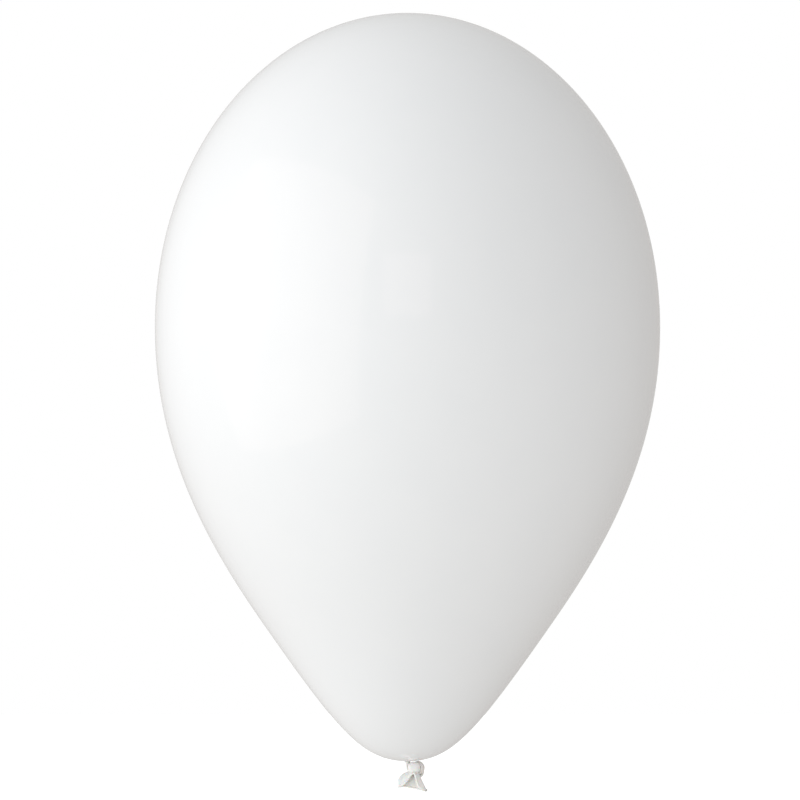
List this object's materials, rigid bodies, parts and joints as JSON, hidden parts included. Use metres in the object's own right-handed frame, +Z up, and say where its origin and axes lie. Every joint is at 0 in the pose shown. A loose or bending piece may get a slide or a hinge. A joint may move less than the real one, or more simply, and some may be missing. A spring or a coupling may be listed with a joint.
{
  "type": "latex balloon",
  "caption": "Inflated latex party balloon: a hollow teardrop film envelope tied off by an overhand knot, with a short flared tail and rolled rim.",
  "frame": {"origin": "tie point on the balloon's axis, where the gathered neck leaves the envelope just above the knot", "axes": "+Z up the axis from the tie point to the crown, +X to the right, -Y to the front, where the mouth of the tail opens"},
  "size_m": [0.26, 0.26, 0.4009],
  "materials": {
    "inflated_film": "gloss",
    "gathered_latex": "satin",
    "tail_latex": "satin",
    "rim_latex": "satin"
  },
  "bodies": {
    "envelope": {"envelope": "inflated_film"},
    "neck": {"neck": "gathered_latex"},
    "knot": {"knot": "gathered_latex"},
    "tail": {"tail": "tail_latex", "rolled_rim": "rim_latex"}
  },
  "joints": [
    {"name": "neck_twist", "type": "hinge", "parent": "envelope", "child": "neck", "pos_m": [0, 0, 0], "axis": [0, 0, 1], "range_deg": [-180, 180], "stiffness_Nm_per_rad": 0.0003},
    {"name": "knot_tilt", "type": "hinge", "parent": "neck", "child": "knot", "pos_m": [0.0004, 0, -0.0009], "axis": [1, 0, 0], "range_deg": [-6, 12], "stiffness_Nm_per_rad": 0.0006},
    {"name": "tail_flop", "type": "hinge", "parent": "knot", "child": "tail", "pos_m": [0.0033, -0.003, -0.0067], "axis": [1, 0, 0], "range_deg": [-12, 60], "stiffness_Nm_per_rad": 0.0002}
  ]
}
